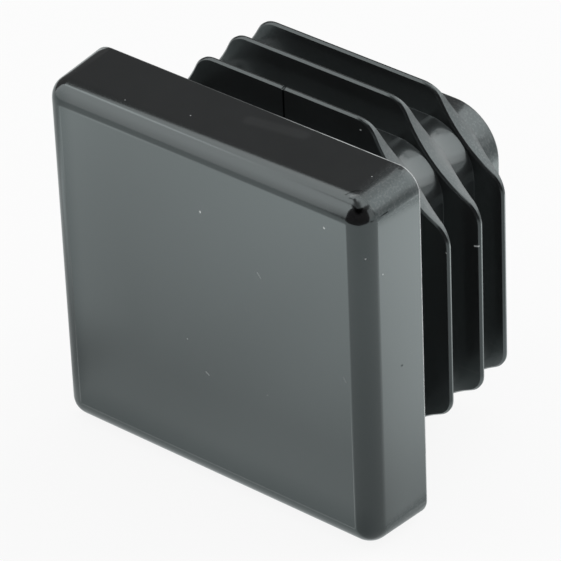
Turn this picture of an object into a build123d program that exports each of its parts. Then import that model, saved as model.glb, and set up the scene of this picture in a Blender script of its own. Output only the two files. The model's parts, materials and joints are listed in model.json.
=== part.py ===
"""Square tube end cap: a one-piece moulded plug that closes the open end of a square tube.

Frame, in millimetres: the tube's axis is Y. The head's underside, which seats on the tube's cut end,
lies in the plane Y = 0. The head stands out toward -Y, and the plug with its fins goes into the tube
toward +Y. X is to the right, Z is up, and the origin is the middle of the seat.
"""

import os
from math import radians, sqrt, tan

from build123d import *

# Head, the square cover that stays outside the tube
HEAD_WIDTH = 25.0
HEAD_THICKNESS = 5.0
HEAD_DRAFT = 3.3
HEAD_CORNER_RADIUS = 1.5
HEAD_FRONT_RADIUS = 1.4

# Core, the hollow square stem that carries the fins
CORE_WIDTH = 19.2
CORE_LENGTH = 11.7
CORE_DRAFT = 0.5
CORE_CORNER_RADIUS = 3.4
CORE_WALL = 1.6
CORE_END_RADIUS = 0.4
HEAD_WALL = 2.4
MOUTH_CHAMFER = 0.3

# Fins, which bend against the inside of the tube: flat toward the head, sloped toward the open end.
# They are spread between the first fin's place and the core's bare nose, and the last is narrower.
FIN_COUNT = 3
FIN_WIDTH = 24.55
LEAD_FIN_STEP = 1.13
FIRST_FIN = 2.84
CORE_NOSE = 2.76
FIN_TIP = 0.26
FIN_BACK_ANGLE = 18.0
FIN_RIM_TAPER = 8.0
FIN_EDGE_CHAMFER = 0.14
FIN_VERTEX_RADIUS = 1.6

# Scallops that cut the fins back at the corners, to just proud of the core's rounded corners
SCALLOP_RADIUS = 9.3
SCALLOP_PROUD = 0.25

# Nick in the first fin's top edge, where the two halves of the mould meet
NICK_WIDTH = 0.22
NICK_DEPTH = 0.18

# How far each fin's own body reaches into the core's wall
FIN_ANCHOR = 1.0

OUTWARD = Plane.XZ
INWARD = Plane.ZX


def at_depth(depth):
    """The plane across the tube's axis, depth inside the tube, facing the open end."""
    return INWARD.offset(depth)


def core_half(depth):
    """Half the core's width at a depth, less its draft."""
    return CORE_WIDTH / 2 - depth * tan(radians(CORE_DRAFT))


def build_fin(width, depth):
    """One fin: a flat front, a back that slopes to a thin edge, and scalloped corners."""
    anchor_half = core_half(depth) - FIN_ANCHOR
    rise = (width / 2 - anchor_half) * tan(radians(FIN_BACK_ANGLE))
    core_corner = sqrt(2) * (core_half(depth) - CORE_CORNER_RADIUS) + CORE_CORNER_RADIUS
    scallop_centre = core_corner + SCALLOP_PROUD + SCALLOP_RADIUS
    with BuildPart() as fin:
        with BuildSketch(at_depth(depth)):
            Rectangle(width, width)
        extrude(amount=FIN_TIP)
        with BuildSketch(at_depth(depth + FIN_TIP)):
            Rectangle(width, width)
        with BuildSketch(at_depth(depth + FIN_TIP + rise)):
            Rectangle(2 * anchor_half, 2 * anchor_half)
        loft(ruled=True)
        with BuildSketch(at_depth(depth)):
            Rectangle(width, width)
            with PolarLocations(scallop_centre, 4, start_angle=45):
                Circle(SCALLOP_RADIUS, mode=Mode.SUBTRACT)
            fillet(vertices(), radius=FIN_VERTEX_RADIUS)
        extrude(amount=FIN_TIP + rise, taper=FIN_RIM_TAPER, mode=Mode.INTERSECT)
        chamfer(faces().sort_by(Axis.Y)[0].edges(), length=FIN_EDGE_CHAMFER)
    return fin.part


fin_pitch = (CORE_LENGTH - CORE_NOSE - FIRST_FIN) / (FIN_COUNT - 1)
fins = []
for number in range(FIN_COUNT):
    is_lead = number == FIN_COUNT - 1
    fin_width = FIN_WIDTH - LEAD_FIN_STEP if is_lead else FIN_WIDTH
    fins.append(build_fin(fin_width, FIRST_FIN + number * fin_pitch))

with BuildPart() as end_cap:
    # Head: square with rounded corners, drafted toward its rounded front
    with BuildSketch(OUTWARD):
        RectangleRounded(HEAD_WIDTH, HEAD_WIDTH, HEAD_CORNER_RADIUS)
    extrude(amount=HEAD_THICKNESS, taper=HEAD_DRAFT)
    fillet(faces().sort_by(Axis.Y)[0].edges(), radius=HEAD_FRONT_RADIUS)

    # Core: drafted stem with large rounded corners and a softened end
    with BuildSketch(INWARD):
        RectangleRounded(CORE_WIDTH, CORE_WIDTH, CORE_CORNER_RADIUS)
    extrude(amount=CORE_LENGTH, taper=CORE_DRAFT)
    fillet(faces().sort_by(Axis.Y)[-1].edges(), radius=CORE_END_RADIUS)

    # Fins, the first with a nick in the middle of its top edge
    add(fins)
    with BuildSketch(at_depth(FIRST_FIN)):
        with Locations((FIN_WIDTH / 2, 0)):
            Rectangle(2 * NICK_DEPTH, NICK_WIDTH)
    extrude(amount=FIN_TIP + NICK_DEPTH, mode=Mode.SUBTRACT)

    # Hollow: open at the inner end and drafted toward its floor, behind the head's outer wall
    mouth_width = 2 * (core_half(CORE_LENGTH) - CORE_WALL)
    hollow_depth = CORE_LENGTH + HEAD_THICKNESS - HEAD_WALL
    with BuildSketch(OUTWARD.offset(-CORE_LENGTH)):
        RectangleRounded(mouth_width, mouth_width, CORE_CORNER_RADIUS - CORE_WALL)
    extrude(amount=hollow_depth, taper=CORE_DRAFT, mode=Mode.SUBTRACT)
    mouth = faces().sort_by(Axis.Y)[-1].inner_wires()[0]
    chamfer(mouth.edges(), length=MOUTH_CHAMFER)

end_cap.part.label = "end_cap"

if __name__ == "__main__":
    os.makedirs("parts", exist_ok=True)
    export_step(end_cap.part, "parts/end_cap.step")
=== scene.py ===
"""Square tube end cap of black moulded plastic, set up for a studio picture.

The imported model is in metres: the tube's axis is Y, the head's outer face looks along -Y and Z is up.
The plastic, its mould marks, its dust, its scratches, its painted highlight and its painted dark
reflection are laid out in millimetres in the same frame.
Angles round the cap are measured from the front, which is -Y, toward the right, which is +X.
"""

import json
import math
from typing import NamedTuple

import bpy
from mathutils import Matrix, Vector

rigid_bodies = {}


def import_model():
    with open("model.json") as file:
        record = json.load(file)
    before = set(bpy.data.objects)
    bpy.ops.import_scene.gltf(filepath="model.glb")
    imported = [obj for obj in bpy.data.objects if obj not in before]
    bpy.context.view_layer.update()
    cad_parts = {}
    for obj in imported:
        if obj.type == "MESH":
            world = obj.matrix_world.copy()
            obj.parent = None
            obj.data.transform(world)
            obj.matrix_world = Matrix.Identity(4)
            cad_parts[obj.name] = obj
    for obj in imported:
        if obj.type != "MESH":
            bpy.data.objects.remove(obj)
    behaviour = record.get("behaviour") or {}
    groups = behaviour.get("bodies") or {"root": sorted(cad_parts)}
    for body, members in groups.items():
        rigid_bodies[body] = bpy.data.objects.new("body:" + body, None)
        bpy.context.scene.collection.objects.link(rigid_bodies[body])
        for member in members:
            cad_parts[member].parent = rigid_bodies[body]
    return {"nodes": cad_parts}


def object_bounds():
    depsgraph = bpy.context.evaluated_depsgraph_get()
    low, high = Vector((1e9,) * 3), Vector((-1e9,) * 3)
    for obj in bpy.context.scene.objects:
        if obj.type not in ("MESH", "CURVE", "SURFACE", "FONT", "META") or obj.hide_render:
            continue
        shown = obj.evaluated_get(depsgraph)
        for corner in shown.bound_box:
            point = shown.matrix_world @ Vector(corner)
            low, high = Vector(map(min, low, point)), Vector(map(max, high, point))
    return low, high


bl_info = {
    "name": "Square Tube End Cap",
    "version": (1, 0, 0),
    "blender": (4, 5, 0),
    "location": "3D View > Sidebar > End Cap",
    "description": "Moulded plastic finish and a small studio for a square tube end cap",
    "category": "Object",
}

for leftover in list(bpy.data.objects):
    bpy.data.objects.remove(leftover)

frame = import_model()
cap = frame["nodes"]["end_cap"]
cad_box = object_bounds()

MM = 0.001
MM_PER_M = 1000.0

# The cap's main measures in mm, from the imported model
FACE = cad_box[0].y * MM_PER_M
CORE_END = cad_box[1].y * MM_PER_M
HALF_WIDTH = cad_box[1].x * MM_PER_M

# Node editor spacing, and the colour sockets of a Mix node
COLUMN = 190
ROW = 170
FIRST_COLOUR = 6
SECOND_COLOUR = 7
MIXED_COLOUR = 2
WHITE = (1.0, 1.0, 1.0, 1.0)
BLACK = (0.0, 0.0, 0.0, 1.0)

# Softened edges
WELD_GAP = 0.0005 * MM
SOFT_EDGE_SEGMENTS = 2
SHARP_ANGLE = math.radians(36)

# Fins' rims: how their cut corners count beside their sides, and how far their faces look along the axis
RIM_CORNER_SHARE = 0.645
RIM_FACING = (0.55, 0.35)

# Where the skin changes, from nothing to full: places in mm from the frame's origin
RIM_REACH = (HALF_WIDTH - 1.38, HALF_WIDTH - 1.3)
RIM_DEPTH = (1.5, 2.0)
CORE_END_DEPTH = (CORE_END - 2.9, CORE_END - 2.3)
PLUG_DEPTH = (0.2, 0.6)
HEAD_EDGE_DIAGONAL = (2 * HALF_WIDTH - 2.4, 2 * HALF_WIDTH - 1.6)
HEAD_EDGE_RIGHT = (HALF_WIDTH - 3.5, HALF_WIDTH - 2.0)
HEAD_EDGE_BACK = (0.2, 0.0)
HEAD_EDGE_FRONT = (FACE + 0.8, FACE + 1.4)
BORDER_LEFT = (2.7 - HALF_WIDTH, 1.1 - HALF_WIDTH)
BORDER_FOOT = (3.9 - HALF_WIDTH, 1.3 - HALF_WIDTH)
BORDER_FRONT = (FACE + 0.8, FACE + 0.1)

# How the zones and marks change the plastic: shades, shares and losses, and a height in mm
CLOUD_SHADES = (0.8, 1.25)
CLOUD_ROUGHNESS = 0.06
RIM_COARSENESS = 0.5
SPECKLE_LIMITS = (0.45, 0.7)
SPECKLE_SHADE = 4.0
COARSE_GLOSS_LOSS = 0.65
BORDER_GLOSS_LOSS = 0.6
# How pale the painted highlight on the head's back edge is
HIGHLIGHT_PALENESS = 0.9
PALE_MARK_ROUGHNESS = 0.5
PALE_MARK_HEIGHT = 0.004

# Painted highlight along the head's back edge: places in mm, and its breaks as limits in noise and
# levels
HIGHLIGHT_RIM = (HALF_WIDTH - 0.5, HALF_WIDTH - 0.4)
HIGHLIGHT_BACK = 0.5
HIGHLIGHT_RIGHT = (0.0, 7.0)
HIGHLIGHT_LEFT_LEVEL = 0.12
HIGHLIGHT_BREAKS = (0.3, 0.6)
HIGHLIGHT_BREAK_LEVELS = (0.55, 1.0)

# Dust grains seen on the cap: centre in mm, radius in mm, strength
DUST_GRAINS = (
    ((-0.14, -5.0, 7.53), 0.105, 1.0),
    ((9.35, -5.0, 10.1), 0.095, 1.0),
    ((11.96, -4.5, 8.71), 0.065, 0.8),
    ((12.31, -3.37, 7.16), 0.06, 0.8),
    ((-1.7, -5.0, -2.24), 0.05, 0.6),
    ((10.44, -1.83, 12.39), 0.05, 0.7),
    ((5.87, 2.84, 11.47), 0.08, 0.9),
    ((-2.38, -2.86, 12.33), 0.06, 0.5),
    ((-6.72, -3.76, 12.28), 0.05, 0.4),
    ((12.09, 2.84, 5.21), 0.07, 0.6),
)

# A grain's uneven reach as noise times gain plus least, and the share of it at full strength
DUST_GAIN = 1.2
DUST_LEAST = 0.4
DUST_SOLID_SHARE = 0.45

# Dust scattered on every side, in mm
SCATTER = {"Cell Size": 1.1, "Radius": 0.045, "Share": 0.06}

# Pale lines: start and end in mm, half width in mm, strength
SCRATCHES_ON_FACE = (
    ((4.1, -5.0, 4.9), (4.35, -5.0, 4.6), 0.04, 0.4),
    ((-0.35, -5.0, -4.1), (-0.1, -5.0, -4.25), 0.05, 0.4),
    ((10.4, -5.0, 0.0), (10.6, -5.0, -0.3), 0.025, 0.25),
)
STREAKS_ON_FINS = (
    ((12.2, 5.9, 4.06), (11.85, 5.89, 3.96), 0.08, 1.0),
    ((10.6, 5.89, -5.31), (12.0, 5.89, -5.26), 0.13, 0.012),
    ((10.7, 8.94, -5.34), (11.5, 8.94, -5.53), 0.12, 0.012),
)
SMUDGES_ON_HEAD = (
    ((0.9, -1.3, 12.43), (4.5, -0.75, 12.46), 0.6, 0.015),
    ((10.6, -3.95, 12.25), (10.92, -3.7, 12.29), 0.14, 0.14),
)
PALE_LINES = SCRATCHES_ON_FACE + STREAKS_ON_FINS + SMUDGES_ON_HEAD

# Dark lines, laid out the same way
PARTING_LINE = (((0.0, 2.84, 12.2), (0.0, 2.84, 9.5), 0.09, 1.0),)
SPECK_ON_RIGHT = (((12.39, -1.96, -0.06), (12.39, -1.92, -0.06), 0.08, 1.0),)
# A painted dark reflection at the head's front top right corner
DARK_REFLECTION_AT_CORNER = (
    ((10.6, -4.13, 12.19), (10.95, -4.1, 12.2), 0.06, 0.6),
    ((10.95, -4.1, 12.2), (11.35, -4.33, 12.02), 0.14, 0.8),
    ((11.25, -4.28, 12.08), (11.5, -4.42, 11.85), 0.34, 0.75),
)
CREASES_AT_CORNER = (
    ((12.16, -4.15, 11.16), (12.32, -2.8, 11.2), 0.06, 0.8),
    ((10.25, -4.03, 12.22), (10.49, -3.49, 12.3), 0.05, 0.8),
    ((10.49, -3.49, 12.3), (10.89, -3.24, 12.31), 0.05, 0.8),
)
DARK_LINES = PARTING_LINE + SPECK_ON_RIGHT + DARK_REFLECTION_AT_CORNER + CREASES_AT_CORNER

# The share of a line's half width that is at full strength
LINE_SOLID_SHARE = 0.3

# The floor's painted light and shade as the gloss sees it: brightness, where 1 is white, and gains to
# the left and right
FLOOR_GLOW = {"Dim": 0.54, "Near": 0.6, "Far": 1.33, "Left Gain": 0.85, "Right Gain": 1.38}
FLOOR_TINT = (0.95, 1.0, 1.0)

# Where the floor's painted glow changes, in mm from the axis
GLOW_NEAR_TO_FAR = (12.5, 38.0)
GLOW_END = (47.0, 36.0)
GLOW_RIGHT = (13.0, 23.0)
GLOW_LEFT = (-12.0, -32.0)
GLOW_PAST_MIDDLE = (-10.0, 0.0)
GLOW_PAST_MIDDLE_GAIN = 1.1

# A painted shade, a dimmer patch of the floor's glow on the left beside the cap, in mm
LEFT_PATCH_ACROSS = (-12.0, -17.0)
LEFT_PATCH_DEPTH = (-16.0, -9.0)
LEFT_PATCH_LOSS = 0.4

# The painted shade in front of the cap's right corner: its centre in mm, its ends in degrees round that,
# its reach in mm and its shades near and far
DIM_CENTRE_ACROSS = 11.6
DIM_CENTRE_DEPTH = -4.4
DIM_LEFT_END = (-28.0, -37.0)
DIM_RIGHT_END = (112.0, 155.0)
DIM_REACH = (2.0, 30.0)
DIM_SHADES = (0.72, 1.05)

# The floor's sides, and the camera's sensor in mm and clipping in metres
FLOOR_SEGMENTS = 96
SENSOR_WIDTH = 36
CAMERA_CLIP = (0.01, 10)

# Black card, which only puts a painted dark reflection into the cap's gloss: in degrees and metres,
# above the cap's lowest point
CARD_TURN = math.radians(30)
CARD_DISTANCE = 0.05
CARD_HALF_WIDTH = 0.06
CARD_HEIGHT = 0.094
CARD_LIFT = 0.006
CARD_COLOUR = (0.01, 0.01, 0.01, 1.0)

# A lamp's watts on a square metre at a brightness of 1, and the share of its length that its foot takes
LAMP_WATTS = 4
LAMP_FOOT_SHARE = 0.45


class Softbox(NamedTuple):
    """A lamp's place in degrees and metres, its size, and how its light runs from foot to head.

    Foot is the brightness at its foot, and fade the share of its length at which it begins to fade.
    """

    turn: float
    distance: float
    sideways: float
    height: float
    tilt: float
    width: float
    length: float
    foot: float
    fade: float


FRONT_BOX = Softbox(
    turn=-52,
    distance=0.45,
    sideways=0,
    height=0.34,
    tilt=0,
    width=0.478,
    length=0.68,
    foot=0.65,
    fade=0.89,
)
BACK_BOX = Softbox(
    turn=152,
    distance=0.4,
    sideways=0,
    height=0.2,
    tilt=26,
    width=0.58,
    length=0.42,
    foot=0.45,
    fade=0.99,
)
TOP_BOX = Softbox(
    turn=162,
    distance=0.0625,
    sideways=0.066,
    height=0.5,
    tilt=90,
    width=0.62,
    length=0.675,
    foot=1.0,
    fade=0.96,
)
SIDE_BOX = Softbox(
    turn=96,
    distance=0.45,
    sideways=0,
    height=0.2,
    tilt=0,
    width=0.26,
    length=0.4,
    foot=1.0,
    fade=0.99,
)


def shade(colour, factor=1.0):
    """A colour times a factor, as a socket takes it."""
    return [factor * part for part in colour] + [1.0]


def outward(turn, rise=0.0):
    """The direction away from the cap at an angle round it and an angle above the level."""
    level = math.cos(rise)
    return Vector((math.sin(turn) * level, -math.cos(turn) * level, math.sin(rise)))


def rightward(turn):
    """The level direction to the right, as seen from an angle round the cap."""
    return Vector((math.cos(turn), math.sin(turn), 0))


def stand(context, thing, where, right, up, back):
    """Puts a lamp or the camera into the scene at a place, turned to three axes."""
    axes = Matrix((right, up, back)).transposed().to_4x4()
    thing.matrix_world = Matrix.Translation(where) @ axes
    context.scene.collection.objects.link(thing)


def clear_nodes(owner):
    """The empty node tree of a material, a lamp or the world."""
    owner.use_nodes = True
    owner.node_tree.nodes.clear()
    return owner.node_tree


def place(tree, kind, at, inputs=None, **settings):
    """Adds a node at a column and row, with its settings, and its inputs set or linked."""
    node = tree.nodes.new(kind)
    node.location = (at[0] * COLUMN, -at[1] * ROW)
    for name, value in settings.items():
        setattr(node, name, value)
    for name, value in (inputs or {}).items():
        if isinstance(value, bpy.types.NodeSocket):
            tree.links.new(value, node.inputs[name])
        else:
            node.inputs[name].default_value = value
    return node


def math_node(tree, operation, at, first, second=0.0, third=0.0, clamp=False):
    """A math node's result."""
    values = {0: first, 1: second, 2: third}
    node = place(tree, "ShaderNodeMath", at, values, operation=operation, use_clamp=clamp)
    return node.outputs[0]


def combine(tree, operation, at, values, step=(1, 0)):
    """Several values joined by one operation, each node a step on from the last."""
    total = values[0]
    for number, value in enumerate(values[1:]):
        here = (at[0] + number * step[0], at[1] + number * step[1])
        total = math_node(tree, operation, here, total, value)
    return total


def ramp(tree, at, value, limits, levels=(0.0, 1.0), smooth=True):
    """Maps a value between two limits to two levels, and holds it outside."""
    values = {
        "Value": value,
        "From Min": limits[0],
        "From Max": limits[1],
        "To Min": levels[0],
        "To Max": levels[1],
    }
    kind = "SMOOTHSTEP" if smooth else "LINEAR"
    node = place(tree, "ShaderNodeMapRange", at, values, interpolation_type=kind)
    return node.outputs["Result"]


def vector_node(tree, operation, at, first, second):
    """A vector math node's outputs."""
    values = {0: first, 1: second}
    return place(tree, "ShaderNodeVectorMath", at, values, operation=operation).outputs


def scaled(tree, at, vector, factor):
    """A vector or colour times a factor."""
    values = {0: vector, "Scale": factor}
    return place(tree, "ShaderNodeVectorMath", at, values, operation="SCALE").outputs[0]


def split(tree, at, vector):
    """A vector's X, Y and Z."""
    return place(tree, "ShaderNodeSeparateXYZ", at, {0: vector}).outputs


def blend(tree, at, factor, first, second):
    """Two colours mixed by a factor."""
    values = {"Factor": factor, FIRST_COLOUR: first, SECOND_COLOUR: second}
    return place(tree, "ShaderNodeMix", at, values, data_type="RGBA").outputs[MIXED_COLOUR]


def start_group(name, vectors, numbers, outputs):
    """An empty shader node group with named sockets, and its input and output nodes."""
    tree = bpy.data.node_groups.new(name, "ShaderNodeTree")
    for label in vectors:
        tree.interface.new_socket(label, in_out="INPUT", socket_type="NodeSocketVector")
    for label in numbers:
        tree.interface.new_socket(label, in_out="INPUT", socket_type="NodeSocketFloat")
    for label in outputs:
        tree.interface.new_socket(label, in_out="OUTPUT", socket_type="NodeSocketFloat")
    return tree, tree.nodes.new("NodeGroupInput").outputs, tree.nodes.new("NodeGroupOutput")


def end_group(tree, end, column, results):
    """Links a group's results to its outputs, and gives the group back."""
    for label, result in results.items():
        tree.links.new(result, end.inputs[label])
    end.location = (column * COLUMN, 0)
    return tree


def use_group(tree, group, at, inputs):
    """Places a node group with its values, and gives its outputs."""
    return place(tree, "ShaderNodeGroup", at, inputs, node_tree=group).outputs


def make_skin_group():
    """Moulded skin: fine grain, and slow clouds where the plastic cooled unevenly."""
    kinds = ("Grain", "Cloud")
    sizes = [kind + " Size" for kind in kinds]
    tree, start, end = start_group("Moulded Skin", ("Position",), sizes, kinds)
    noises = {}
    for row, kind in enumerate(kinds):
        scale = math_node(tree, "DIVIDE", (1, row), 1.0, start[kind + " Size"])
        values = {"Vector": start["Position"], "Scale": scale, "Detail": 2.0, "Roughness": 0.55}
        noises[kind] = place(tree, "ShaderNodeTexNoise", (2, row), values).outputs["Fac"]
    return end_group(tree, end, 4, noises)


def make_zone_group():
    """Where the skin differs from the rest.

    It is coarser on the fins' rims, the core's end and the head's upper right edge, less smooth on the
    whole plug, and duller along the left and lower border of the outer face.
    """
    zones = ("Rims", "Core End", "Head Edge", "Inside", "Border")
    tree, start, end = start_group("Skin Zones", ("Position", "Normal"), (), zones)
    spot = split(tree, (1, 0), start["Position"])
    facing = split(tree, (1, 3), start["Normal"])

    # Fins' rims: a square with its corners cut off, on faces that look sideways
    across = math_node(tree, "ABSOLUTE", (2, 0), spot["X"])
    upright = math_node(tree, "ABSOLUTE", (2, 1), spot["Z"])
    along_axis = math_node(tree, "ABSOLUTE", (2, 3), facing["Y"])
    square = math_node(tree, "MAXIMUM", (3, 0), across, upright)
    diagonal = math_node(tree, "ADD", (3, 1), across, upright)
    corners = math_node(tree, "MULTIPLY", (4, 1), diagonal, RIM_CORNER_SHARE)
    reach = math_node(tree, "MAXIMUM", (5, 0), square, corners)
    outside = ramp(tree, (6, 0), reach, RIM_REACH)
    behind = ramp(tree, (6, 1), spot["Y"], RIM_DEPTH)
    sideways = ramp(tree, (3, 3), along_axis, RIM_FACING)
    rims = combine(tree, "MULTIPLY", (7, 0), (outside, behind, sideways))

    # Head's upper right edge
    upper = ramp(tree, (6, 4), diagonal, HEAD_EDGE_DIAGONAL)
    right = ramp(tree, (6, 5), spot["X"], HEAD_EDGE_RIGHT)
    before_seat = ramp(tree, (6, 6), spot["Y"], HEAD_EDGE_BACK)
    past_round = ramp(tree, (6, 10), spot["Y"], HEAD_EDGE_FRONT)
    head_edge = combine(tree, "MULTIPLY", (7, 4), (upper, right, before_seat, past_round))

    # Left and lower border of the outer face
    left = ramp(tree, (6, 7), spot["X"], BORDER_LEFT)
    foot = ramp(tree, (6, 8), spot["Z"], BORDER_FOOT)
    front = ramp(tree, (6, 9), spot["Y"], BORDER_FRONT)
    side = math_node(tree, "MAXIMUM", (7, 7), left, foot)
    border = math_node(tree, "MULTIPLY", (8, 7), side, front)

    results = {
        "Rims": rims,
        "Core End": ramp(tree, (6, 2), spot["Y"], CORE_END_DEPTH),
        "Head Edge": head_edge,
        "Inside": ramp(tree, (6, 3), spot["Y"], PLUG_DEPTH),
        "Border": border,
    }
    return end_group(tree, end, 10, results)


def make_dust_grain_group():
    """One grain of dust: an uneven spot round a centre."""
    numbers = ("Radius", "Strength")
    tree, start, end = start_group("Grain Of Dust", ("Position", "Centre"), numbers, ("Mask",))
    gap = vector_node(tree, "DISTANCE", (1, 0), start["Position"], start["Centre"])["Value"]
    values = {"Vector": start["Position"], "Scale": 12.0}
    uneven = place(tree, "ShaderNodeTexNoise", (1, 1), values).outputs["Fac"]
    reach = math_node(tree, "MULTIPLY_ADD", (2, 1), uneven, DUST_GAIN, DUST_LEAST)
    edge = math_node(tree, "MULTIPLY", (3, 1), reach, start["Radius"])
    solid = math_node(tree, "MULTIPLY", (4, 1), edge, DUST_SOLID_SHARE)
    fade = ramp(tree, (5, 0), gap, (edge, solid))
    mask = math_node(tree, "MULTIPLY", (6, 0), fade, start["Strength"])
    return end_group(tree, end, 7, {"Mask": mask})


def make_line_group():
    """One thin line between two points, with soft edges."""
    vectors = ("Position", "Start", "End")
    numbers = ("Half Width", "Strength")
    tree, start, end = start_group("Hairline", vectors, numbers, ("Mask",))
    run = vector_node(tree, "SUBTRACT", (1, 0), start["End"], start["Start"])[0]
    step = vector_node(tree, "SUBTRACT", (1, 1), start["Position"], start["Start"])[0]
    along = vector_node(tree, "DOT_PRODUCT", (2, 0), step, run)["Value"]
    square = vector_node(tree, "DOT_PRODUCT", (2, 1), run, run)["Value"]
    share = math_node(tree, "DIVIDE", (3, 0), along, square, clamp=True)
    foot = scaled(tree, (4, 0), run, share)
    gap = vector_node(tree, "DISTANCE", (5, 0), step, foot)["Value"]
    solid = math_node(tree, "MULTIPLY", (5, 1), start["Half Width"], LINE_SOLID_SHARE)
    fade = ramp(tree, (6, 0), gap, (start["Half Width"], solid))
    mask = math_node(tree, "MULTIPLY", (7, 0), fade, start["Strength"])
    return end_group(tree, end, 8, {"Mask": mask})


def make_scatter_group():
    """Scattered dust: a small grain in a few of the cells of a lattice."""
    numbers = ("Cell Size", "Radius", "Share")
    tree, start, end = start_group("Scattered Dust", ("Position",), numbers, ("Mask",))
    scale = math_node(tree, "DIVIDE", (1, 0), 1.0, start["Cell Size"])
    values = {"Vector": start["Position"], "Scale": scale, "Randomness": 1.0}
    cells = place(tree, "ShaderNodeTexVoronoi", (2, 0), values).outputs
    chances = place(tree, "ShaderNodeSeparateColor", (3, 1), {0: cells["Color"]}).outputs
    distance = math_node(tree, "MULTIPLY", (3, 0), cells["Distance"], start["Cell Size"])
    radius = math_node(tree, "MULTIPLY", (4, 1), chances[1], start["Radius"])
    near = math_node(tree, "LESS_THAN", (5, 0), distance, radius)
    picked = math_node(tree, "LESS_THAN", (5, 1), chances[0], start["Share"])
    mask = math_node(tree, "MULTIPLY", (6, 0), near, picked)
    return end_group(tree, end, 7, {"Mask": mask})


def make_edge_highlight_group():
    """Thin pale painted highlight along the head's back edge, strongest on the right."""
    tree, start, end = start_group("Painted Edge Highlight", ("Position",), ("Width",), ("Mask",))
    spot = split(tree, (1, 0), start["Position"])
    across = math_node(tree, "ABSOLUTE", (2, 0), spot["X"])
    upright = math_node(tree, "ABSOLUTE", (2, 1), spot["Z"])
    square = math_node(tree, "MAXIMUM", (3, 0), across, upright)
    rim = ramp(tree, (4, 0), square, HIGHLIGHT_RIM)
    inner = math_node(tree, "MULTIPLY", (3, 2), start["Width"], -1.0)
    strip = math_node(tree, "GREATER_THAN", (4, 2), spot["Y"], inner)
    ahead = math_node(tree, "LESS_THAN", (4, 3), spot["Y"], HIGHLIGHT_BACK)
    values = {"Vector": start["Position"], "Scale": 0.9, "Detail": 3.0}
    uneven = place(tree, "ShaderNodeTexNoise", (2, 4), values).outputs["Fac"]
    broken = ramp(tree, (4, 4), uneven, HIGHLIGHT_BREAKS, HIGHLIGHT_BREAK_LEVELS)
    right = ramp(tree, (4, 5), spot["X"], HIGHLIGHT_RIGHT, (HIGHLIGHT_LEFT_LEVEL, 1.0))
    mask = combine(tree, "MULTIPLY", (5, 0), (rim, strip, ahead, broken, right))
    return end_group(tree, end, 10, {"Mask": mask})


def make_floor_glow_group():
    """Painted light and shade on the floor as the gloss sees it: lit beside the cap, dim in front of its
    right corner.
    """
    numbers = tuple(FLOOR_GLOW)
    tree, start, end = start_group("Floor Glow", ("Position",), numbers, ("Brightness",))
    spot = split(tree, (1, 0), start["Position"])
    across = math_node(tree, "ABSOLUTE", (2, 0), spot["X"])
    depth = math_node(tree, "ABSOLUTE", (2, 1), spot["Y"])
    away = math_node(tree, "MAXIMUM", (3, 0), across, depth)

    # The painted light on the floor, dimmer near the cap, and its painted shade on the left
    lit = ramp(tree, (4, 0), away, GLOW_NEAR_TO_FAR, (start["Near"], start["Far"]), smooth=False)
    right_gain = ramp(tree, (4, 1), spot["X"], GLOW_RIGHT, (1.0, start["Right Gain"]))
    left_gain = ramp(tree, (4, -1), spot["X"], GLOW_LEFT, (1.0, start["Left Gain"]))
    middle_gain = ramp(tree, (4, -2), spot["X"], GLOW_PAST_MIDDLE, (1.0, GLOW_PAST_MIDDLE_GAIN))
    left_of = ramp(tree, (4, -3), spot["X"], LEFT_PATCH_ACROSS)
    beside = ramp(tree, (4, -4), spot["Y"], LEFT_PATCH_DEPTH)
    patch = math_node(tree, "MULTIPLY", (5, -3), left_of, beside)
    kept = math_node(tree, "MULTIPLY_ADD", (6, -3), patch, -LEFT_PATCH_LOSS, 1.0)
    factors = (lit, right_gain, left_gain, middle_gain, kept)
    bright = combine(tree, "MULTIPLY", (5, 0), factors)

    # Outside the painted shade in front of the corner, and not too far out, the floor has its painted
    # light
    from_corner = math_node(tree, "SUBTRACT", (2, 3), spot["X"], DIM_CENTRE_ACROSS)
    in_front = math_node(tree, "SUBTRACT", (2, 4), DIM_CENTRE_DEPTH, spot["Y"])
    turn = math_node(tree, "ARCTAN2", (3, 3), from_corner, in_front)
    degrees = math_node(tree, "DEGREES", (4, 3), turn)
    left = ramp(tree, (5, 3), degrees, DIM_LEFT_END)
    right = ramp(tree, (5, 4), degrees, DIM_RIGHT_END)
    side = math_node(tree, "MAXIMUM", (6, 3), left, right)
    close = ramp(tree, (4, 2), away, GLOW_END)
    share = math_node(tree, "MULTIPLY", (7, 3), side, close)

    # The painted shade in front of the corner, a little brighter farther out
    square = math_node(tree, "POWER", (3, 5), from_corner, 2.0)
    square = math_node(tree, "MULTIPLY_ADD", (4, 5), in_front, in_front, square)
    reach = math_node(tree, "SQRT", (5, 5), square)
    shading = ramp(tree, (6, 5), reach, DIM_REACH, DIM_SHADES, smooth=False)
    dim = math_node(tree, "MULTIPLY", (7, 5), shading, start["Dim"])
    gap = math_node(tree, "SUBTRACT", (9, 1), bright, dim)
    glow = math_node(tree, "MULTIPLY_ADD", (10, 1), gap, share, dim)
    return end_group(tree, end, 11, {"Brightness": glow})


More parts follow.
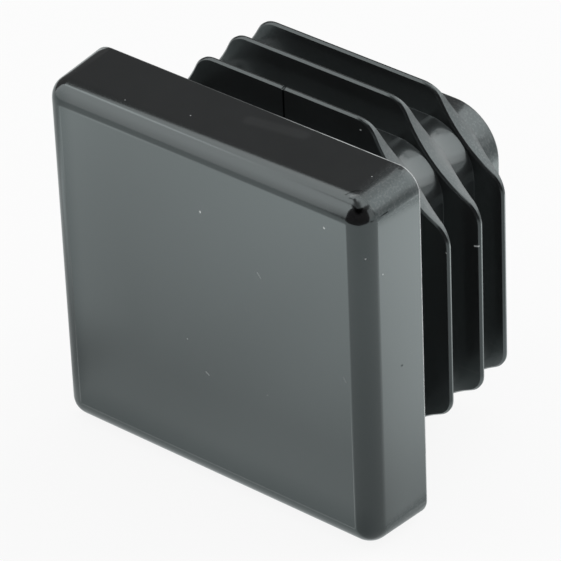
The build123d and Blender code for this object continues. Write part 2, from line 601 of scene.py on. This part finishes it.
class CapFinish(bpy.types.PropertyGroup):
    """The moulded plastic's colour, gloss and marks."""

    colour: bpy.props.FloatVectorProperty(
        name="Plastic colour",
        description="Colour of the plastic without its gloss",
        subtype="COLOR",
        size=3,
        min=0.0,
        max=1.0,
        default=(0.0180, 0.0180, 0.0185),
    )
    # The dust colour also paints the highlight on the head's back edge
    dust_colour: bpy.props.FloatVectorProperty(
        name="Dust colour",
        description="Colour of dust grains, scratches and flash",
        subtype="COLOR",
        size=3,
        min=0.0,
        max=1.0,
        default=(0.8, 0.82, 0.82),
    )
    roughness: bpy.props.FloatProperty(
        name="Roughness", description="Roughness of clean plastic", min=0.0, max=1.0, default=0.13
    )
    coarse_roughness: bpy.props.FloatProperty(
        name="Coarse roughness",
        description="Roughness of the plug, and of the head's upper right edge",
        min=0.0,
        max=1.0,
        default=0.3,
    )
    grain_size: bpy.props.FloatProperty(
        name="Grain size",
        description="Size of the skin's fine grain",
        unit="LENGTH",
        default=0.16 * MM,
    )
    grain_height: bpy.props.FloatProperty(
        name="Grain height",
        description="Height of the skin's fine grain",
        unit="LENGTH",
        default=0.0014 * MM,
    )
    coarse_height: bpy.props.FloatProperty(
        name="Coarse grain height",
        description="Height of the grain on the rims, the core's end and the head's upper right edge",
        unit="LENGTH",
        default=0.008 * MM,
    )
    cloud_size: bpy.props.FloatProperty(
        name="Cloud size",
        description="Size of the slow changes in the skin",
        unit="LENGTH",
        default=3.5 * MM,
    )
    # Width of the painted highlight on the head's back edge
    highlight_width: bpy.props.FloatProperty(
        name="Painted highlight width",
        description="Width of the pale flash on the head's back edge",
        unit="LENGTH",
        default=0.07 * MM,
    )
    edge_radius: bpy.props.FloatProperty(
        name="Edge radius",
        description="Width of the softened edges",
        unit="LENGTH",
        default=0.04 * MM,
    )


class StudioSettings(bpy.types.PropertyGroup):
    """The floor, the lamps and the camera."""

    floor_colour: bpy.props.FloatVectorProperty(
        name="Floor colour",
        description="Colour of the floor",
        subtype="COLOR",
        size=3,
        min=0.0,
        max=1.0,
        default=(0.9, 0.9, 0.9),
    )
    floor_radius: bpy.props.FloatProperty(
        name="Floor radius", description="Radius of the round floor", unit="LENGTH", default=1.2
    )
    seen_white: bpy.props.FloatProperty(
        name="White seen",
        description="Share of plain white in the floor as the camera sees it",
        min=0.0,
        max=1.0,
        default=0.9,
    )
    front_brightness: bpy.props.FloatProperty(
        name="Front lamp", description="Brightness of the front softbox", min=0.0, default=0.95
    )
    back_brightness: bpy.props.FloatProperty(
        name="Back lamp", description="Brightness of the back softbox", min=0.0, default=1.25
    )
    top_brightness: bpy.props.FloatProperty(
        name="Top lamp", description="Brightness of the overhead softbox", min=0.0, default=0.85
    )
    side_brightness: bpy.props.FloatProperty(
        name="Side lamp", description="Brightness of the side softbox", min=0.0, default=0.45
    )
    room_brightness: bpy.props.FloatProperty(
        name="Room light", description="Brightness of the dim room round it", min=0.0, default=0.1
    )
    azimuth: bpy.props.FloatProperty(
        name="Azimuth",
        description="Camera's turn round the cap from the front, to the right",
        unit="ROTATION",
        default=math.radians(40.583),
    )
    elevation: bpy.props.FloatProperty(
        name="Elevation",
        description="Camera's height above the horizon",
        unit="ROTATION",
        default=math.radians(34.070),
    )
    roll: bpy.props.FloatProperty(
        name="Roll",
        description="Camera's lean about its own axis",
        unit="ROTATION",
        default=math.radians(-2.466),
    )
    distance: bpy.props.FloatProperty(
        name="Distance", description="From the camera to its target", unit="LENGTH", default=0.29124
    )
    target: bpy.props.FloatVectorProperty(
        name="Target",
        description="Point at the middle of the picture",
        subtype="XYZ",
        unit="LENGTH",
        default=(0.001597, 0.0, 0.000603),
    )
    lens: bpy.props.FloatProperty(
        name="Focal length",
        description="Focal length in mm on a 36 mm sensor",
        unit="CAMERA",
        default=310.12,
    )


class ENDCAP_OT_finish_plastic(bpy.types.Operator):
    """Give the cap its moulded plastic and soften its sharp edges"""

    bl_idname = "endcap.finish_plastic"
    bl_label = "Finish Plastic"

    def execute(self, context):
        settings = context.scene.end_cap_finish
        self.soften_edges(settings)
        material = self.make_material(settings)
        cap.data.materials.clear()
        cap.data.materials.append(material)
        return {"FINISHED"}

    def soften_edges(self, settings):
        """Joins the mesh's split edges and rounds the sharp ones a little."""
        weld = cap.modifiers.new("Weld", "WELD")
        weld.merge_threshold = WELD_GAP
        bevel = cap.modifiers.new("Soft edges", "BEVEL")
        bevel.width = settings.edge_radius
        bevel.segments = SOFT_EDGE_SEGMENTS
        bevel.limit_method = "ANGLE"
        bevel.angle_limit = SHARP_ANGLE
        bevel.harden_normals = True

    def make_material(self, settings):
        """Black plastic with grain, clouds, coarser zones, a painted highlight, dust, scratches and a
        painted dark reflection.
        """
        material = bpy.data.materials.new("Moulded black plastic")
        tree = clear_nodes(material)
        coordinates = place(tree, "ShaderNodeTexCoord", (-8, 0)).outputs
        position = scaled(tree, (-7, 0), coordinates["Object"], MM_PER_M)
        skin_sizes = {
            "Position": position,
            "Grain Size": settings.grain_size * MM_PER_M,
            "Cloud Size": settings.cloud_size * MM_PER_M,
        }
        skin = use_group(tree, make_skin_group(), (-5, 0), skin_sizes)
        surface = {"Position": position, "Normal": coordinates["Normal"]}
        zones = use_group(tree, make_zone_group(), (-5, -1), surface)
        line_group = make_line_group()
        pale = self.add_pale_marks_and_highlight(tree, position, line_group, settings)
        dark = self.add_lines(tree, position, line_group, DARK_LINES, 22)
        half_rims = math_node(tree, "MULTIPLY", (-4, -1), zones["Rims"], RIM_COARSENESS)
        rough_zones = (half_rims, zones["Core End"], zones["Head Edge"])
        coarse = combine(tree, "MAXIMUM", (-3, -1), rough_zones)
        values = {
            "Base Color": self.mix_colour(tree, settings, skin, coarse, dark, pale),
            "Roughness": self.mix_roughness(tree, settings, skin, zones, coarse, pale),
            "Normal": self.raise_skin(tree, settings, skin, coarse, pale),
            "IOR": 1.51,
            "Specular IOR Level": 1.0,
            "Specular Tint": (0.82, 0.99, 1.0, 1.0),
            # The dark marks and the painted dark reflection are black metal
            "Metallic": dark,
            "Coat Weight": self.mix_gloss(tree, zones, coarse, dark),
            "Coat Roughness": 0.12,
            "Coat IOR": 1.5,
        }
        shader = place(tree, "ShaderNodeBsdfPrincipled", (3, 0), values)
        place(tree, "ShaderNodeOutputMaterial", (5, 0), {"Surface": shader.outputs[0]})
        return material

    def mix_colour(self, tree, settings, skin, coarse, dark, pale):
        """Cloudy black, speckled where it is coarse, with the dark marks, the painted dark reflection,
        the pale marks and the painted highlight over it.
        """
        darker, lighter = (shade(settings.colour, factor) for factor in CLOUD_SHADES)
        plastic = blend(tree, (-1, 0), skin["Cloud"], darker, lighter)
        speckle = ramp(tree, (-3, -3), skin["Grain"], SPECKLE_LIMITS)
        speckled = math_node(tree, "MULTIPLY", (-2, -3), speckle, coarse)
        plastic = blend(tree, (0, 0), speckled, plastic, shade(settings.colour, SPECKLE_SHADE))
        plastic = blend(tree, (0, -2), dark, plastic, BLACK)
        return blend(tree, (1, 0), pale, plastic, shade(settings.dust_colour))

    def mix_roughness(self, tree, settings, skin, zones, coarse, pale):
        """Roughness: uneven with the clouds, and higher on coarse zones, the plug, the pale marks and
        the painted highlight.
        """
        dulled = math_node(tree, "MAXIMUM", (-2, -2), coarse, zones["Inside"])
        least = settings.roughness - CLOUD_ROUGHNESS / 2
        clean = math_node(tree, "MULTIPLY_ADD", (0, 1), skin["Cloud"], CLOUD_ROUGHNESS, least)
        extra = settings.coarse_roughness - settings.roughness
        worn = math_node(tree, "MULTIPLY_ADD", (1, 1), dulled, extra, clean)
        return math_node(tree, "MULTIPLY_ADD", (3, 1), pale, PALE_MARK_ROUGHNESS, worn)

    def mix_gloss(self, tree, zones, coarse, dark):
        """Weight of the glossy coat: less on coarse zones and the border, none on dark marks and the
        painted dark reflection.
        """
        gloss = math_node(tree, "MULTIPLY_ADD", (0, -1), coarse, -COARSE_GLOSS_LOSS, 1.0)
        gloss = math_node(tree, "MULTIPLY_ADD", (1, -1), zones["Border"], -BORDER_GLOSS_LOSS, gloss)
        return math_node(tree, "MULTIPLY_ADD", (2, -1), dark, -1.0, gloss, clamp=True)

    def raise_skin(self, tree, settings, skin, coarse, pale):
        """The normal of the grain, deeper where it is coarse, and of the raised pale marks and painted
        highlight.
        """
        fine = settings.grain_height * MM_PER_M
        deep = settings.coarse_height * MM_PER_M
        depth = math_node(tree, "MULTIPLY_ADD", (-1, 2), coarse, deep - fine, fine)
        height = math_node(tree, "MULTIPLY", (0, 2), skin["Grain"], depth)
        raised = math_node(tree, "MULTIPLY_ADD", (1, 2), pale, PALE_MARK_HEIGHT, height)
        values = {"Strength": 1.0, "Distance": MM, "Height": raised}
        return place(tree, "ShaderNodeBump", (2, 2), values).outputs["Normal"]

    def add_pale_marks_and_highlight(self, tree, position, line_group, settings):
        """Dust, scratches and the painted highlight on the head's back edge."""
        dust = self.add_dust(tree, position)
        lines = self.add_lines(tree, position, line_group, PALE_LINES, 14)
        width = {"Position": position, "Width": settings.highlight_width * MM_PER_M}
        painted_highlight = use_group(tree, make_edge_highlight_group(), (-5, -2), width)["Mask"]
        pale_highlight = math_node(tree, "MULTIPLY", (-1, 4), painted_highlight, HIGHLIGHT_PALENESS)
        return combine(tree, "MAXIMUM", (-1, 3), (dust, lines, pale_highlight))

    def add_dust(self, tree, position):
        """The dust grains that show, and a sparse scatter on every side."""
        group = make_dust_grain_group()
        masks = []
        for number, (centre, radius, strength) in enumerate(DUST_GRAINS):
            values = {
                "Position": position,
                "Centre": centre,
                "Radius": radius,
                "Strength": strength,
            }
            masks.append(use_group(tree, group, (-5, number + 1), values)["Mask"])
        values = {"Position": position, **SCATTER}
        masks.append(use_group(tree, make_scatter_group(), (-5, len(masks) + 1), values)["Mask"])
        return combine(tree, "MAXIMUM", (-3, 2), masks, (0, 1))

    def add_lines(self, tree, position, group, lines, row):
        """Thin lines between points, such as scratches, from a row of the node editor down."""
        masks = []
        for number, (start, end, half_width, strength) in enumerate(lines):
            values = {
                "Position": position,
                "Start": start,
                "End": end,
                "Half Width": half_width,
                "Strength": strength,
            }
            masks.append(use_group(tree, group, (-5, number + row), values)["Mask"])
        return combine(tree, "MAXIMUM", (-3, row), masks, (0, 1))


class ENDCAP_OT_build_stage(bpy.types.Operator):
    """Lay the pale floor, hang the softboxes and set the camera"""

    bl_idname = "endcap.build_stage"
    bl_label = "Build Stage"

    def execute(self, context):
        settings = context.scene.end_cap_studio
        self.lay_floor(context, settings)
        self.light_room(context, settings)
        self.hang_softbox(context, "Front softbox", FRONT_BOX, settings.front_brightness)
        self.hang_softbox(context, "Back softbox", BACK_BOX, settings.back_brightness)
        self.hang_softbox(context, "Top softbox", TOP_BOX, settings.top_brightness)
        self.hang_softbox(context, "Side softbox", SIDE_BOX, settings.side_brightness)
        self.stand_black_card(context)
        self.set_camera(context, settings)
        context.scene.view_settings.view_transform = "Standard"
        return {"FINISHED"}

    def add_sheet(self, context, name, corners, material):
        """One flat face with a material."""
        mesh = bpy.data.meshes.new(name)
        mesh.from_pydata(corners, [], [tuple(range(len(corners)))])
        mesh.materials.append(material)
        sheet = bpy.data.objects.new(name, mesh)
        context.scene.collection.objects.link(sheet)
        return sheet

    def lay_floor(self, context, settings):
        """A round floor at the cap's lowest point."""
        low = Vector((0, 0, cad_box[0].z))
        rim = []
        for number in range(FLOOR_SEGMENTS):
            turn = math.tau * number / FLOOR_SEGMENTS
            rim.append(low + settings.floor_radius * rightward(turn))
        floor = self.add_sheet(context, "Floor", rim, self.make_floor_material(settings))

    def make_floor_material(self, settings):
        """Pale floor that the camera sees close to white, with the cap's shadow, and that the gloss sees
        as painted light and shade.
        """
        material = bpy.data.materials.new("Pale floor")
        tree = clear_nodes(material)
        path = place(tree, "ShaderNodeLightPath", (0, 0)).outputs
        seen = math_node(tree, "MULTIPLY", (1, 0), path["Is Camera Ray"], settings.seen_white)
        rays = (path["Is Glossy Ray"], path["Is Transmission Ray"])
        mirrored = combine(tree, "MAXIMUM", (1, 1), rays)
        share = math_node(tree, "MAXIMUM", (2, 0), seen, mirrored)
        coordinates = place(tree, "ShaderNodeTexCoord", (-1, 2)).outputs
        position = scaled(tree, (0, 2), coordinates["Object"], MM_PER_M)
        values = {"Position": position, **FLOOR_GLOW}
        glow = use_group(tree, make_floor_glow_group(), (1, 2), values)["Brightness"]
        lit = scaled(tree, (2, 2), FLOOR_TINT, glow)
        hue = blend(tree, (3, 3), mirrored, WHITE, lit)
        white = place(tree, "ShaderNodeEmission", (4, 2), {"Color": hue})
        colour = {"Color": shade(settings.floor_colour)}
        paint = place(tree, "ShaderNodeBsdfDiffuse", (3, 1), colour)
        values = {0: share, 1: paint.outputs[0], 2: white.outputs[0]}
        mix = place(tree, "ShaderNodeMixShader", (5, 0), values)
        place(tree, "ShaderNodeOutputMaterial", (6, 0), {"Surface": mix.outputs[0]})
        return material

    def light_room(self, context, settings):
        """A dim room that the camera sees as white."""
        world = bpy.data.worlds.new("Room")
        context.scene.world = world
        tree = clear_nodes(world)
        seen = place(tree, "ShaderNodeLightPath", (0, 0)).outputs["Is Camera Ray"]
        dim = shade((1.0, 1.0, 1.0), settings.room_brightness)
        values = {"Color": blend(tree, (1, 0), seen, dim, WHITE), "Strength": 1.0}
        background = place(tree, "ShaderNodeBackground", (2, 0), values)
        place(tree, "ShaderNodeOutputWorld", (3, 0), {"Surface": background.outputs[0]})

    def hang_softbox(self, context, name, box, brightness):
        """A rectangular lamp, dimmer at its foot and fading out at its head."""
        lamp = bpy.data.lights.new(name, "AREA")
        lamp.shape = "RECTANGLE"
        lamp.size = box.width
        lamp.size_y = box.length
        lamp.energy = LAMP_WATTS * brightness * box.width * box.length
        tree = clear_nodes(lamp)
        geometry = place(tree, "ShaderNodeNewGeometry", (0, 0)).outputs
        along = split(tree, (1, 0), geometry["Parametric"])["Y"]
        rise = ramp(tree, (2, 0), along, (0.0, LAMP_FOOT_SHARE), (box.foot, 1.0), smooth=False)
        fall = ramp(tree, (2, 1), along, (box.fade, 1.0), (1.0, 0.0), smooth=False)
        strength = math_node(tree, "MULTIPLY", (2, 2), rise, fall)
        emission = place(tree, "ShaderNodeEmission", (3, 0), {"Strength": strength})
        place(tree, "ShaderNodeOutputLight", (4, 0), {"Surface": emission.outputs[0]})
        turn = math.radians(box.turn)
        across = rightward(turn)
        facing = outward(turn, math.radians(box.tilt))
        spot = box.distance * outward(turn) + box.sideways * across + Vector((0, 0, box.height))
        holder = bpy.data.objects.new(name, lamp)
        holder.visible_camera = False
        stand(context, holder, spot, across, facing.cross(across), facing)

    def stand_black_card(self, context):
        """A black card at the front right, which only the cap's gloss sees: a painted dark reflection,
        with no shadow.
        """
        material = bpy.data.materials.new("Black card")
        tree = clear_nodes(material)
        paint = place(tree, "ShaderNodeBsdfDiffuse", (0, 0), {"Color": CARD_COLOUR})
        place(tree, "ShaderNodeOutputMaterial", (1, 0), {"Surface": paint.outputs[0]})
        middle = CARD_DISTANCE * outward(CARD_TURN)
        across = CARD_HALF_WIDTH * rightward(CARD_TURN)
        low = cad_box[0].z + CARD_LIFT
        high = low + CARD_HEIGHT
        corners = []
        for side, height in ((-1, low), (1, low), (1, high), (-1, high)):
            corners.append(middle + side * across + Vector((0, 0, height)))
        card = self.add_sheet(context, "Black card", corners, material)
        card.visible_camera = False
        card.visible_shadow = False
        card.visible_diffuse = False

    def set_camera(self, context, settings):
        """A long lens at the picture's angle, with no shift and no blur."""
        right = rightward(settings.azimuth)
        back = outward(settings.azimuth, settings.elevation)
        up = back.cross(right)
        leaned_right = math.cos(settings.roll) * right + math.sin(settings.roll) * up
        leaned_up = math.cos(settings.roll) * up - math.sin(settings.roll) * right
        camera = bpy.data.cameras.new("Camera")
        camera.sensor_width = SENSOR_WIDTH
        camera.lens = settings.lens
        camera.clip_start, camera.clip_end = CAMERA_CLIP
        holder = bpy.data.objects.new("Camera", camera)
        where = Vector(settings.target) + settings.distance * back
        stand(context, holder, where, leaned_right, leaned_up, back)
        context.scene.camera = holder


class ENDCAP_PT_panel(bpy.types.Panel):
    """The cap's panel in the sidebar"""

    bl_label = "Tube End Cap"
    bl_idname = "ENDCAP_PT_panel"
    bl_space_type = "VIEW_3D"
    bl_region_type = "UI"
    bl_category = "End Cap"

    def draw(self, context):
        layout = self.layout
        for settings, operator in (
            (context.scene.end_cap_finish, ENDCAP_OT_finish_plastic.bl_idname),
            (context.scene.end_cap_studio, ENDCAP_OT_build_stage.bl_idname),
        ):
            box = layout.box()
            for name in settings.__annotations__:
                box.prop(settings, name)
            box.operator(operator)


CLASSES = (
    CapFinish,
    StudioSettings,
    ENDCAP_OT_finish_plastic,
    ENDCAP_OT_build_stage,
    ENDCAP_PT_panel,
)


def register():
    """Registers the classes and hangs the settings on the scene."""
    for one in CLASSES:
        bpy.utils.register_class(one)
    bpy.types.Scene.end_cap_finish = bpy.props.PointerProperty(type=CapFinish)
    bpy.types.Scene.end_cap_studio = bpy.props.PointerProperty(type=StudioSettings)


def unregister():
    """Takes the settings and the classes away again."""
    del bpy.types.Scene.end_cap_studio
    del bpy.types.Scene.end_cap_finish
    for one in reversed(CLASSES):
        bpy.utils.unregister_class(one)


def main():
    """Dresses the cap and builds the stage."""
    register()
    bpy.ops.endcap.finish_plastic()
    bpy.ops.endcap.build_stage()


if __name__ == "__main__":
    main()
